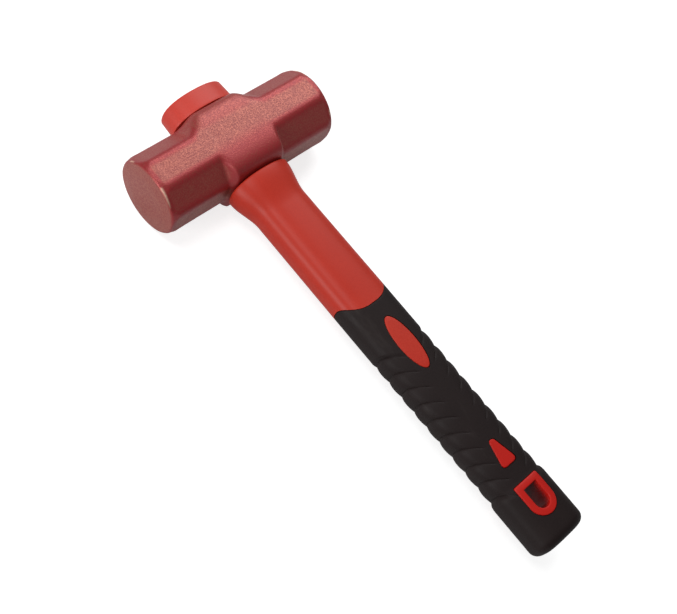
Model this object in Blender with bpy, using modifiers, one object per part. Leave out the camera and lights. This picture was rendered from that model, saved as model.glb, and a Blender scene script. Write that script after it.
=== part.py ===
"""A 3 lb lump hammer: forged steel head on a fibreglass handle with a moulded jacket and a soft grip.

Frame: the hammer lies on the back cheek of its head, on Z = 0. +X runs along the head to the right
striking face, +Y along the handle to the cap, and the origin is straight below the crossing of the
head's axis and the handle's axis. All sizes are in metres.
"""

from math import cos, pi, sin, tau

import bmesh
import bpy

# Head
HEAD_LENGTH = 0.120
HEAD_DEPTH = 0.0436  # cheek to cheek, and across the flats of the octagonal ends
BOSS_RISE = 0.0023  # how far the middle stands above the flats, at the cap and at the grip
BOSS_CAP_SIDE_HALF = 0.0125  # half length of the boss before its corners run out
BOSS_CAP_SIDE_RUNOUT = 0.0140
BOSS_GRIP_SIDE_HALF = 0.0158
BOSS_GRIP_SIDE_RUNOUT = 0.0045
BOSS_BEVEL_HEIGHT = 0.0053  # bevel along the boss's corners, measured on the cheek
BOSS_BEVEL_DEPTH = 0.0065  # and on the top
TURNED_LENGTH = 0.0065  # cone turned on the corners of the octagon at each striking face
TURNED_RADIUS = 0.0225  # small end of that cone
FACE_EDGE_RADIUS = 0.0020
FACE_FLAT_RADIUS = 0.0130
FACE_CROWN = 0.0006
CORNER_REACH = 0.0016  # rounding of the edges between the facets of the octagonal ends
BOSS_CORNER_REACH = 0.0072

# Eye: an oval hole, wider at the cap side so that the filler locks the head on
EYE_HALF_WIDTH = 0.0157
EYE_HALF_DEPTH = 0.0116
EYE_FLARE = 0.0014  # added to both half sizes at the cap side

# Handle
NECK_LENGTH = 0.0968  # from the head's underside to the deepest point of the grip's edge
NECK_HALF_WIDTH = 0.0163
NECK_HALF_DEPTH = 0.0123
NECK_SQUARENESS = 2.7
COLLAR_HALF_WIDTH = 0.0206
COLLAR_HALF_DEPTH = 0.0155
COLLAR_LENGTH = 0.0228
COLLAR_SQUARENESS = 2.3
COLLAR_CHAMFER = 0.0010
TANG_CLEARANCE = 0.0012  # filler thickness and its two gaps, between tang and eye
TANG_RISE = 0.0070  # tang above the head's top
JACKET_END_LENGTH = 0.0027  # stretch over which the jacket's end draws in under the butt
JACKET_END_DRAW = 0.0018

# Core
CORE_RADIUS = 0.0070
CORE_END_ABOVE_HOLE = 0.006
CORE_CHAMFER = 0.0008

# Cap
CAP_HEIGHT = 0.0125
CAP_HALF_WIDTH = 0.0218
CAP_HALF_DEPTH = 0.0145
CAP_DRAFT = 0.0005
CAP_EDGE_RADIUS = 0.0014

# Grip
GRIP_LENGTH = 0.1604  # from the deepest point of its edge to the butt
GRIP_HALF_WIDTH = 0.0165
GRIP_HALF_DEPTH = 0.0120
GRIP_SQUARENESS = 2.9
GRIP_WALL = 0.0022
GRIP_EDGE_BOW = 0.0088  # how much further up the edge reaches at the sides than at the front
SMOOTH_LENGTH = 0.0268  # plain stretch before the first groove
BLOCK_LENGTH = 0.0388  # plain block at the butt
BLOCK_RAMP = 0.0060  # length over which the grip thickens into the block
BLOCK_HALF_WIDTH = 0.0173
BLOCK_HALF_DEPTH = 0.0126
BUTT_RADIUS = 0.0054
RIB_COUNT = 9
RIB_HEIGHT = 0.0012
RIB_RAMP = 0.25  # share of a rib over which the end grooves rise to the plain grip
RIB_SLOPE = 0.75  # fall of a groove towards the butt for each metre towards the middle
RIB_FULLNESS = 0.6  # 1 is a sine wave, less is a broader rib with a narrower groove
FRONT_GROOVE_SHARE = 0.35  # depth of the grooves on the front, as a share of that at the sides
BAND_HALF_WIDTH = 0.0045  # smooth middle band without ribs

# Windows in the grip, through which the jacket shows on both faces
OVAL_LENGTH = 0.0362
OVAL_WIDTH = 0.0123
OVAL_FROM_EDGE = 0.0283  # its middle, below the deepest point of the grip's edge
TRIANGLE_LENGTH = 0.0170
TRIANGLE_TIP_RADIUS = 0.0025
TRIANGLE_LEAN = 0.24  # slant of its sides to the handle's axis, in radians
TRIANGLE_CORNER_REACH = 0.0035
TRIANGLE_ABOVE_HOLE = 0.0101  # its base, above the flat side of the hole's rim
RIM_LENGTH = 0.0226
RIM_WIDTH = 0.0180
RIM_ABOVE_BUTT = 0.0144
RIM_WALL = 0.0042
RIM_PROUD = 0.0004

# Fits and facets
GAP = 0.0003  # between pieces that touch
RING_POINTS = 32
ARC_POINTS = 8
CORNER_POINTS = 4
EDGE_STEPS = 3  # facets round an outer edge
RIB_STEPS = 4  # rings for each rib
RUNOUT_STEPS = 9
NECK_STEPS = 4  # rings along the collar, and as many along the rest of the neck
FILLER_STEPS = 4
SLANT_STEPS = 5  # rings over which the slant of the grooves dies out towards the butt
LONGEST_REACH = 0.45  # most of a side that the rounding of one of its corners may take
SHARP_ANGLE = pi / 5
BEYOND = 0.004  # how far a cutter passes the surface that it cuts

HALF_LENGTH = HEAD_LENGTH / 2
HALF_DEPTH = HEAD_DEPTH / 2
AXIS_HEIGHT = HALF_DEPTH
HEAD_TOP = HALF_DEPTH + BOSS_RISE
NECK_TOP = -HEAD_TOP - GAP
GRIP_EDGE = NECK_TOP - NECK_LENGTH
BUTT = GRIP_EDGE - GRIP_LENGTH
BLOCK_TOP = BUTT + BLOCK_LENGTH
FIRST_GROOVE = GRIP_EDGE - SMOOTH_LENGTH
RIB_PITCH = (FIRST_GROOVE - BLOCK_TOP) / RIB_COUNT
RIM_END = BUTT + RIM_ABOVE_BUTT
RIM_TOP = RIM_END + RIM_LENGTH
TRIANGLE_BASE = RIM_TOP + TRIANGLE_ABOVE_HOLE
OVAL_MIDDLE = GRIP_EDGE - OVAL_FROM_EDGE
TANG_HALF_WIDTH = EYE_HALF_WIDTH - TANG_CLEARANCE
TANG_HALF_DEPTH = EYE_HALF_DEPTH - TANG_CLEARANCE
TANG_TOP = HEAD_TOP + TANG_RISE
CAP_TOP = HEAD_TOP + GAP + CAP_HEIGHT
CORE_TOP = TANG_TOP
CORE_END = RIM_TOP + CORE_END_ABOVE_HOLE
JACKET_END = BUTT + GRIP_WALL + GAP


def clear_scene():
    for obj in list(bpy.data.objects):
        bpy.data.objects.remove(obj)


def new_collection(name):
    collection = bpy.data.collections.new(name)
    bpy.context.scene.collection.children.link(collection)
    return collection


def make_material(name, colour, roughness, metallic=0.0):
    material = bpy.data.materials.new(name)
    material.use_nodes = True
    shader = material.node_tree.nodes["Principled BSDF"]
    shader.inputs["Base Color"].default_value = (*colour, 1.0)
    shader.inputs["Roughness"].default_value = roughness
    shader.inputs["Metallic"].default_value = metallic
    return material


def place(name, mesh, collection, material=None):
    """Links a mesh that is modelled round the handle's axis, at that axis's height."""
    obj = bpy.data.objects.new(name, mesh)
    obj.location.z = AXIS_HEIGHT
    collection.objects.link(obj)
    if material:
        mesh.materials.append(material)
        mesh.shade_smooth()
        mesh.set_sharp_from_angle(angle=SHARP_ANGLE)
    else:
        obj.hide_render = True
        obj.display_type = "WIRE"
    return obj


def loft(rings, closed=False):
    """A mesh through rings of points. Its ends are filled, unless the last ring joins the first."""
    builder = bmesh.new()
    loops = [[builder.verts.new(point) for point in ring] for ring in rings]
    pairs = list(zip(loops, loops[1:]))
    if closed:
        pairs.append((loops[-1], loops[0]))
    for one, other in pairs:
        for i in range(len(one)):
            j = (i + 1) % len(one)
            builder.faces.new((one[i], one[j], other[j], other[i]))
    if not closed:
        builder.faces.new(loops[0])
        builder.faces.new(loops[-1])
    bmesh.ops.recalc_face_normals(builder, faces=builder.faces)
    mesh = bpy.data.meshes.new("loft")
    builder.to_mesh(mesh)
    builder.free()
    return mesh


def prism(outline, half_depth):
    """A closed prism on an outline in the XY plane, equally deep on both sides of it."""
    rings = [[(x, y, z) for x, y in outline] for z in (-half_depth, half_depth)]
    return loft(rings)


def cut(obj, cutter, operation="DIFFERENCE"):
    modifier = obj.modifiers.new(cutter.name, "BOOLEAN")
    modifier.operation = operation
    modifier.object = cutter


def blend(start, end, share):
    return start + (end - start) * share


def ease(share):
    share = min(max(share, 0.0), 1.0)
    return share * share * (3 - 2 * share)


def oval_point(angle, half_x, half_z, squareness):
    """A point of an ellipse at squareness 2, and of a shape nearer a box above it."""
    x = half_x * abs(cos(angle)) ** (2 / squareness)
    z = half_z * abs(sin(angle)) ** (2 / squareness)
    return (x if cos(angle) > 0 else -x), (z if sin(angle) > 0 else -z)


def ring_angles():
    return [tau * (i + 0.5) / RING_POINTS for i in range(RING_POINTS)]


def oval_ring(half_x, half_z, squareness, height, bow=0.0):
    """A ring round the handle's axis.
    height is its Y at the front and back, and bow is how much higher it reaches at the sides."""
    ring = []
    for angle in ring_angles():
        x, z = oval_point(angle, half_x, half_z, squareness)
        ring.append((x, height + bow * cos(angle) ** 2, z))
    return ring


def arc(centre, radius, start, end, points):
    return [
        (
            centre[0] + radius * cos(blend(start, end, i / points)),
            centre[1] + radius * sin(blend(start, end, i / points)),
        )
        for i in range(points + 1)
    ]


def rounded_corner(before, corner, after, reach):
    """Points of a smooth bend that replaces a corner, starting reach away from it on each side."""
    starts = []
    for neighbour in (before, after):
        dx, dy = neighbour[0] - corner[0], neighbour[1] - corner[1]
        length = (dx * dx + dy * dy) ** 0.5
        share = min(reach / length, LONGEST_REACH)
        starts.append((corner[0] + dx * share, corner[1] + dy * share))
    bend = []
    for i in range(CORNER_POINTS):
        t = i / (CORNER_POINTS - 1)
        bend.append(
            tuple(
                (1 - t) ** 2 * starts[0][k] + 2 * t * (1 - t) * corner[k] + t * t * starts[1][k]
                for k in (0, 1)
            )
        )
    return bend


def boss_share(x, side):
    """How much of the boss the section at x has on the cap's side (1) or the grip's (-1)."""
    if side > 0:
        half, runout = BOSS_CAP_SIDE_HALF, BOSS_CAP_SIDE_RUNOUT
    else:
        half, runout = BOSS_GRIP_SIDE_HALF, BOSS_GRIP_SIDE_RUNOUT
    return ease((half + runout - abs(x)) / runout)


def head_section(x):
    """The head's outline in the YZ plane at x: a regular octagon at the ends, a soft block at the eye."""
    half_flat = HALF_DEPTH * (2**0.5 - 1)
    corners = []
    for side in (1, -1):
        share = boss_share(x, side)
        height = blend(HALF_DEPTH, HEAD_TOP, share)
        top_edge = blend(half_flat, HALF_DEPTH - BOSS_BEVEL_DEPTH, share)
        cheek_edge = blend(half_flat, HEAD_TOP - BOSS_BEVEL_HEIGHT, share)
        reach = blend(CORNER_REACH, BOSS_CORNER_REACH, share)
        pair = [(side * height, top_edge, reach), (side * cheek_edge, HALF_DEPTH, reach)]
        corners += pair[::side]
    corners += [(y, -z, reach) for y, z, reach in reversed(corners)]
    outline = []
    for i, (y, z, reach) in enumerate(corners):
        before, after = corners[i - 1][:2], corners[(i + 1) % 8][:2]
        outline += rounded_corner(before, (y, z), after, reach)
    return outline


def head_ring(x):
    return [(x, y, z) for y, z in head_section(x)]


def turned_ring(x, radius):
    """The section at x, with its corners turned down to a circle."""
    ring = []
    for y, z in head_section(x):
        shrink = min(1.0, radius / (y * y + z * z) ** 0.5)
        ring.append((x, y * shrink, z * shrink))
    return ring


def face_rings():
    """Rings from the start of the turned cone to the flat middle of the right striking face."""
    rim = HALF_LENGTH - FACE_CROWN
    corner = HALF_DEPTH / cos(pi / 8)
    profile = [(TURNED_LENGTH, corner), (FACE_EDGE_RADIUS, TURNED_RADIUS)]
    for i in range(1, EDGE_STEPS + 1):
        turn = pi / 2 * i / EDGE_STEPS
        profile.append(
            (FACE_EDGE_RADIUS * (1 - sin(turn)), TURNED_RADIUS - FACE_EDGE_RADIUS * (1 - cos(turn)))
        )
    rings = [turned_ring(rim - depth, radius) for depth, radius in profile]
    rings.append(turned_ring(HALF_LENGTH, FACE_FLAT_RADIUS))
    return rings


def build_head(parts, tools, material):
    cone_start = HALF_LENGTH - FACE_CROWN - TURNED_LENGTH
    runout_end = BOSS_CAP_SIDE_HALF + BOSS_CAP_SIDE_RUNOUT
    stations = [
        blend(BOSS_CAP_SIDE_HALF, runout_end, i / RUNOUT_STEPS) for i in range(RUNOUT_STEPS + 1)
    ]
    stations.append((runout_end + cone_start) / 2)
    right = [head_ring(x) for x in stations] + face_rings()
    left = [[(-x, y, z) for x, y, z in ring] for ring in reversed(right)]
    head = place("hammer_head", loft(left + right), parts, material)

    eye = [eye_ring(0.0, height) for height in (-HEAD_TOP - BEYOND, 0.0, HEAD_TOP + BEYOND)]
    cut(head, place("eye_cutter", loft(eye), tools))
    return head


def eye_ring(inset, height):
    """A ring of the eye's wall at a height, moved in by inset."""
    flare = EYE_FLARE * ease((height + HEAD_TOP) / (2 * HEAD_TOP)) - inset
    return oval_ring(EYE_HALF_WIDTH + flare, EYE_HALF_DEPTH + flare, COLLAR_SQUARENESS, height)


def tang_ring(outset, height):
    return oval_ring(
        TANG_HALF_WIDTH + outset, TANG_HALF_DEPTH + outset, COLLAR_SQUARENESS, height
    )


def core_ring(height):
    radius = CORE_RADIUS + GAP
    return oval_ring(radius, radius, 2, height)


def neck_ring(share):
    """A ring of the neck, from the collar at 0 to the grip's edge at 1."""
    start = NECK_TOP - COLLAR_CHAMFER
    reach = start - GRIP_EDGE
    settle = ease(share * reach / COLLAR_LENGTH)
    return oval_ring(
        blend(COLLAR_HALF_WIDTH, blend(NECK_HALF_WIDTH, GRIP_HALF_WIDTH, share), settle),
        blend(COLLAR_HALF_DEPTH, blend(NECK_HALF_DEPTH, GRIP_HALF_DEPTH, share), settle),
        blend(COLLAR_SQUARENESS, blend(NECK_SQUARENESS, GRIP_SQUARENESS, share), settle),
        blend(start, GRIP_EDGE, share),
        GRIP_EDGE_BOW * share,
    )


def inner_ring(height, outset=0.0, bow=0.0):
    """A ring of the jacket where the grip covers it."""
    return oval_ring(
        GRIP_HALF_WIDTH - GRIP_WALL + outset,
        GRIP_HALF_DEPTH - GRIP_WALL + outset,
        GRIP_SQUARENESS,
        height,
        bow,
    )


def hull_ring(height, inset=0.0, slant=0.0):
    """A ring of the grip's outside between the grooves.
    slant is how steeply it falls from the sides towards the middle, as the grooves do."""
    ring = []
    for angle in ring_angles():
        x, z = oval_point(angle, GRIP_HALF_WIDTH, GRIP_HALF_DEPTH, GRIP_SQUARENESS)
        y = height - slant * (GRIP_HALF_WIDTH - abs(x))
        to_block = ease((BLOCK_TOP - y) / BLOCK_RAMP)
        half_x = blend(GRIP_HALF_WIDTH, BLOCK_HALF_WIDTH, to_block) - inset
        half_z = blend(GRIP_HALF_DEPTH, BLOCK_HALF_DEPTH, to_block) - inset
        x, z = oval_point(angle, half_x, half_z, GRIP_SQUARENESS)
        ring.append((x, y, z))
    return ring


def oval_outline(inset):
    half_x, half_y = OVAL_WIDTH / 2 - inset, OVAL_LENGTH / 2 - inset
    points = 4 * ARC_POINTS
    turns = [tau * i / points for i in range(points)]
    return [(half_x * cos(turn), OVAL_MIDDLE + half_y * sin(turn)) for turn in turns]


def triangle_outline(inset):
    """A triangle that points to the head, with a round tip and rounded corners at its base."""
    radius = TRIANGLE_TIP_RADIUS - inset
    centre = TRIANGLE_BASE + TRIANGLE_LENGTH - TRIANGLE_TIP_RADIUS
    base = TRIANGLE_BASE + inset
    half_base = (radius + sin(TRIANGLE_LEAN) * (centre - base)) / cos(TRIANGLE_LEAN)
    tip = arc((0.0, centre), radius, TRIANGLE_LEAN, pi - TRIANGLE_LEAN, ARC_POINTS)
    corner = rounded_corner((-half_base, base), (half_base, base), tip[0], TRIANGLE_CORNER_REACH)
    return corner + tip + [(-x, y) for x, y in reversed(corner)]


def rim_outline(inset):
    """A D with its flat side to the head and its round side to the butt."""
    half_width = RIM_WIDTH / 2 - inset
    centre = (0.0, RIM_END + RIM_WIDTH / 2)
    bow = arc(centre, half_width, -pi, 0.0, 2 * ARC_POINTS)
    return bow + [(half_width, RIM_TOP - inset), (-half_width, RIM_TOP - inset)]


def window_cutters(tools):
    """The outlines of the three windows, as prisms that pass right through the grip."""
    reach = BLOCK_HALF_DEPTH + BEYOND
    return [
        place("oval_window_cutter", prism(oval_outline(0.0), reach), tools),
        place("triangle_window_cutter", prism(triangle_outline(0.0), reach), tools),
        place("rim_window_cutter", prism(rim_outline(0.0), reach), tools),
    ]


def window_pads(tools):
    """What fills the windows: the same outlines less the gap, trimmed to the grip's outside."""
    heights = [GRIP_EDGE, BLOCK_TOP, BLOCK_TOP - BLOCK_RAMP / 2, BLOCK_TOP - BLOCK_RAMP, BUTT]
    level = place("pad_level", loft([hull_ring(y) for y in heights]), tools)
    proud = place("rim_level", loft([hull_ring(y, -RIM_PROUD) for y in heights]), tools)
    reach = BLOCK_HALF_DEPTH + BEYOND
    pads = []
    for name, outline, trim in (
        ("oval_pad", oval_outline(GAP), level),
        ("triangle_pad", triangle_outline(GAP), level),
        ("hole_rim", rim_outline(GAP), proud),
    ):
        pad = place(name, prism(outline, reach), tools)
        cut(pad, trim, "INTERSECT")
        pads.append(pad)
    return pads


def build_jacket(parts, tools, material):
    rings = [tang_ring(0.0, TANG_TOP), tang_ring(0.0, NECK_TOP)]
    rings.append(
        oval_ring(
            COLLAR_HALF_WIDTH - COLLAR_CHAMFER,
            COLLAR_HALF_DEPTH - COLLAR_CHAMFER,
            COLLAR_SQUARENESS,
            NECK_TOP,
        )
    )
    collar_share = COLLAR_LENGTH / NECK_LENGTH
    for start, end in ((0.0, collar_share), (collar_share, 1.0)):
        rings += [neck_ring(blend(start, end, i / NECK_STEPS)) for i in range(NECK_STEPS)]
    rings.append(neck_ring(1.0))
    rings.append(inner_ring(GRIP_EDGE, bow=GRIP_EDGE_BOW))
    rings += [inner_ring(OVAL_MIDDLE), inner_ring(JACKET_END + JACKET_END_LENGTH)]
    rings.append(inner_ring(JACKET_END, -JACKET_END_DRAW))
    jacket = place("handle_jacket", loft(rings), parts, material)
    for pad in window_pads(tools):
        cut(jacket, pad, "UNION")
    bore = [core_ring(CORE_END - GAP), core_ring(TANG_TOP + BEYOND)]
    cut(jacket, place("core_bore_cutter", loft(bore), tools))
    hole = prism(rim_outline(RIM_WALL), BLOCK_HALF_DEPTH + BEYOND)
    cut(jacket, place("hang_hole_cutter", hole, tools))
    return jacket


def build_core(parts, material):
    bpy.ops.mesh.primitive_cylinder_add(
        vertices=RING_POINTS,
        radius=CORE_RADIUS,
        depth=CORE_TOP - CORE_END,
        location=(0.0, (CORE_TOP + CORE_END) / 2, AXIS_HEIGHT),
        rotation=(pi / 2, 0.0, 0.0),
    )
    core = bpy.context.object
    core.name = "fibreglass_core"
    core.data.materials.append(material)
    core.data.shade_smooth()
    core.data.set_sharp_from_angle(angle=SHARP_ANGLE)
    bevel = core.modifiers.new("end_chamfer", "BEVEL")
    bevel.width = CORE_CHAMFER
    bevel.segments = 1
    bevel.limit_method = "ANGLE"
    for owner in list(core.users_collection):
        owner.objects.unlink(core)
    parts.objects.link(core)
    return core


def build_filler(parts, material):
    """The filler cured between the tang and the eye, tapered by the eye's flare."""
    bottom, top = -HEAD_TOP + GAP, HEAD_TOP - GAP
    heights = [blend(bottom, top, i / FILLER_STEPS) for i in range(FILLER_STEPS + 1)]
    outside = [eye_ring(GAP, height) for height in heights]
    inside = [tang_ring(GAP, height) for height in reversed(heights)]
    return place("eye_epoxy", loft(outside + inside, closed=True), parts, material)


def build_cap(parts, material):
    """A cup over the end of the tang, standing on the head's top."""
    base = HEAD_TOP + GAP
    inside = [tang_ring(GAP, TANG_TOP + GAP), tang_ring(GAP, base)]
    outside = [cap_ring(0.0, base)]
    for i in range(EDGE_STEPS + 1):
        turn = pi / 2 * i / EDGE_STEPS
        shrink = CAP_DRAFT + CAP_EDGE_RADIUS * (1 - cos(turn))
        height = CAP_TOP - CAP_EDGE_RADIUS * (1 - sin(turn))
        outside.append(cap_ring(shrink, height))
    return place("eye_cap", loft(inside + outside), parts, material)


def cap_ring(inset, height):
    return oval_ring(CAP_HALF_WIDTH - inset, CAP_HALF_DEPTH - inset, COLLAR_SQUARENESS, height)


def groove_depth(x, y):
    """How far a point of the grip's outside lies below the crests of its ribs."""
    from_band = (abs(x) - BAND_HALF_WIDTH) / (GRIP_HALF_WIDTH - BAND_HALF_WIDTH)
    along = (FIRST_GROOVE - y - RIB_SLOPE * max(GRIP_HALF_WIDTH - abs(x), 0.0)) / RIB_PITCH
    outside = max(-along, along - RIB_COUNT)
    if outside > 0:
        share = max(1 - outside / RIB_RAMP, 0.0)
    else:
        share = 1 - sin(pi * (along % 1.0)) ** RIB_FULLNESS
    front = FRONT_GROOVE_SHARE * ease(3 * from_band)
    return RIB_HEIGHT * blend(front, 1.0, ease(2 * from_band - 1)) * share


def ribbed_ring(level):
    """A ring of the grip that follows the slant of the grooves and holds their depth."""
    ring = []
    for x, y, z in hull_ring(level, slant=RIB_SLOPE):
        shrink = 1 - groove_depth(x, y) / (x * x + z * z) ** 0.5
        ring.append((x * shrink, y, z * shrink))
    return ring


def build_grip(parts, tools, material):
    """A sleeve with a closed butt. Its bore is part of the loft: up the inside, then down the outside."""
    rings = [inner_ring(JACKET_END - GAP, GAP - JACKET_END_DRAW)]
    rings.append(inner_ring(JACKET_END + JACKET_END_LENGTH, GAP))
    rings.append(inner_ring(OVAL_MIDDLE, GAP))
    rings.append(inner_ring(GRIP_EDGE - GAP, GAP, GRIP_EDGE_BOW))
    rings.append(
        oval_ring(
            GRIP_HALF_WIDTH, GRIP_HALF_DEPTH, GRIP_SQUARENESS, GRIP_EDGE - GAP, GRIP_EDGE_BOW
        )
    )
    for step in range(-1, RIB_STEPS * RIB_COUNT + 2):
        rings.append(ribbed_ring(FIRST_GROOVE - RIB_PITCH * step / RIB_STEPS))
    last_rib = BLOCK_TOP - RIB_PITCH / RIB_STEPS
    for i in range(1, SLANT_STEPS + 1):
        share = i / SLANT_STEPS
        level = blend(last_rib, BUTT + BUTT_RADIUS, share)
        rings.append(hull_ring(level, slant=RIB_SLOPE * (1 - share)))
    for i in range(1, EDGE_STEPS + 1):
        turn = pi / 2 * i / EDGE_STEPS
        inset = BUTT_RADIUS * (1 - cos(turn))
        rings.append(hull_ring(BUTT + BUTT_RADIUS * (1 - sin(turn)), inset))
    grip = place("grip_sleeve", loft(rings), parts, material)
    for cutter in window_cutters(tools):
        cut(grip, cutter)
    return grip


def build():
    clear_scene()
    parts = new_collection("lump_hammer")
    tools = new_collection("cutters")
    paint = make_material("head_paint", (0.42, 0.12, 0.09), 0.38, 0.55)
    red = make_material("jacket_plastic", (0.45, 0.035, 0.02), 0.45)
    rubber = make_material("grip_rubber", (0.018, 0.015, 0.014), 0.62)
    glass_fibre = make_material("core_fibreglass", (0.62, 0.56, 0.38), 0.5)
    filler = make_material("epoxy_filler", (0.30, 0.24, 0.16), 0.4)
    build_head(parts, tools, paint)
    build_core(parts, glass_fibre)
    build_filler(parts, filler)
    build_jacket(parts, tools, red)
    build_cap(parts, red)
    build_grip(parts, tools, rubber)


build()
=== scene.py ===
from math import atan2, cos, pi, radians, sin, tau

import bmesh
import bpy
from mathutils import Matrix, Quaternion, Vector, noise


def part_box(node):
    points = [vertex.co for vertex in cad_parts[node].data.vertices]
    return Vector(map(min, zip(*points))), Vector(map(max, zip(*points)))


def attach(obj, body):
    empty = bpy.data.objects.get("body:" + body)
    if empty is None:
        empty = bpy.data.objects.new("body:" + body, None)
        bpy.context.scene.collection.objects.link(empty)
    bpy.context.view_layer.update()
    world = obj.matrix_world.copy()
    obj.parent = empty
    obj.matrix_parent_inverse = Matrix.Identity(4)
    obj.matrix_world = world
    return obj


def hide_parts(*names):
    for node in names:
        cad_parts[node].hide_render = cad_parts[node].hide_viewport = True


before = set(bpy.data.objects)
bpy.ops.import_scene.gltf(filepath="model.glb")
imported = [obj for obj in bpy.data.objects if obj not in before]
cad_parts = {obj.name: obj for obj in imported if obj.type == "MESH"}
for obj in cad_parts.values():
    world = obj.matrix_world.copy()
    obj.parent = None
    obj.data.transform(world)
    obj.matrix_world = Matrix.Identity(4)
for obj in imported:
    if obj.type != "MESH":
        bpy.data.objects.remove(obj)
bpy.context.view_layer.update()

# Lengths are metres and angles radians, except where a name says degrees.
# The hammer lies on its back cheek: X along the head, Y along the handle to the cap.

headLow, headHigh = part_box("hammer_head")
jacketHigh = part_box("handle_jacket")[1]
gripLow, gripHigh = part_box("grip_sleeve")
capLow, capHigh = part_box("eye_cap")
coreLow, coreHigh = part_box("fibreglass_core")
axisHeight = (headLow.z + headHigh.z) / 2
headTop = -headLow.y  # the boss reaches as far at the cap as at the grip
gap = 0.0003  # between pieces that touch
toolReach = 0.004  # how far a cutting tool stands out of what it cuts


def blend(start, end, share):
    return start + (end - start) * share


def ease(share):
    share = min(max(share, 0.0), 1.0)
    return share * share * (3 - 2 * share)


def steps(start, end, count):
    return [blend(start, end, i / count) for i in range(count + 1)]


def ovalPoint(turn, halfX, halfZ, squareness):
    # squareness 2 is an ellipse, more is nearer a box
    reach = 2 / squareness
    x = halfX * abs(cos(turn)) ** reach
    z = halfZ * abs(sin(turn)) ** reach
    return (x if cos(turn) > 0 else -x), (z if sin(turn) > 0 else -z)


def ovalRing(halfX, halfZ, squareness, height, bow=0.0, count=128):
    ring = []
    for i in range(count):
        turn = tau * (i + 0.5) / count
        x, z = ovalPoint(turn, halfX, halfZ, squareness)
        ring.append((x, height + bow * cos(turn) ** 2, z))
    return ring


def loftPiece(name, rings, loop=False):
    # quads between neighbouring rings, with both ends filled unless the rings form a loop
    count = len(rings[0])
    points = [point for ring in rings for point in ring]
    faces = []
    for i in range(len(rings) if loop else len(rings) - 1):
        here = i * count
        there = (i + 1) % len(rings) * count
        for j in range(count):
            k = (j + 1) % count
            faces.append((here + j, here + k, there + k, there + j))
    if not loop:
        faces.append(tuple(range(count)))
        faces.append(tuple(range(len(points) - count, len(points))))
    mesh = bpy.data.meshes.new(name)
    mesh.from_pydata([(x, y, z + axisHeight) for x, y, z in points], [], faces)
    work = bmesh.new()
    work.from_mesh(mesh)
    bmesh.ops.recalc_face_normals(work, faces=work.faces)
    work.to_mesh(mesh)
    work.free()
    piece = bpy.data.objects.new(name, mesh)
    bpy.context.scene.collection.objects.link(piece)
    return piece


def dropSlivers(mesh):
    # long faces that meet along a nearly straight line split into thin triangles lying back to back
    work = bmesh.new()
    work.from_mesh(mesh)
    bmesh.ops.triangulate(work, faces=work.faces)
    byCorners = {}
    for face in work.faces:
        corners = frozenset(corner.index for corner in face.verts)
        byCorners.setdefault(corners, []).append(face)
    doubled = [face for faces in byCorners.values() if len(faces) > 1 for face in faces]
    bmesh.ops.delete(work, geom=doubled, context="FACES")
    work.to_mesh(mesh)
    work.free()


def carve(piece, tool, operation="DIFFERENCE"):
    # the tool is used up
    step = piece.modifiers.new("carve", "BOOLEAN")
    step.object = tool
    step.operation = operation
    step.solver = "MANIFOLD"
    graph = bpy.context.evaluated_depsgraph_get()
    carved = bpy.data.meshes.new_from_object(piece.evaluated_get(graph))
    piece.modifiers.clear()
    piece.data = carved
    bpy.data.objects.remove(tool)
    dropSlivers(carved)


def finishPiece(piece, material, node, sharpDegrees):
    piece.data.materials.clear()
    piece.data.materials.append(material)
    piece.data.shade_smooth()
    piece.data.set_sharp_from_angle(angle=radians(sharpDegrees))
    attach(piece, "root")
    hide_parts(node)
    print("made", piece.name, len(piece.data.polygons), "faces")


def paintMask(piece, name, rule):
    # a value per point, worked out from its place, for the material to read
    mask = piece.data.attributes.new(name, "FLOAT", "POINT")
    values = [rule(p.co.x, p.co.y, p.co.z - axisHeight) for p in piece.data.vertices]
    mask.data.foreach_set("value", values)


def newGroup(name, inputs, outputs):
    group = bpy.data.node_groups.new(name, "ShaderNodeTree")
    for label, kind, value in inputs:
        socket = group.interface.new_socket(label, in_out="INPUT", socket_type=kind)
        socket.default_value = value
    for label, kind in outputs:
        group.interface.new_socket(label, in_out="OUTPUT", socket_type=kind)
    return group, group.nodes.new("NodeGroupInput"), group.nodes.new("NodeGroupOutput")


def mathNode(tree, operation, first, second=None, third=None):
    node = tree.nodes.new("ShaderNodeMath")
    node.operation = operation
    for socket, value in zip(node.inputs, (first, second, third)):
        if isinstance(value, (int, float)):
            socket.default_value = value
        elif value is not None:
            tree.links.new(value, socket)
    return node.outputs[0]


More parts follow.
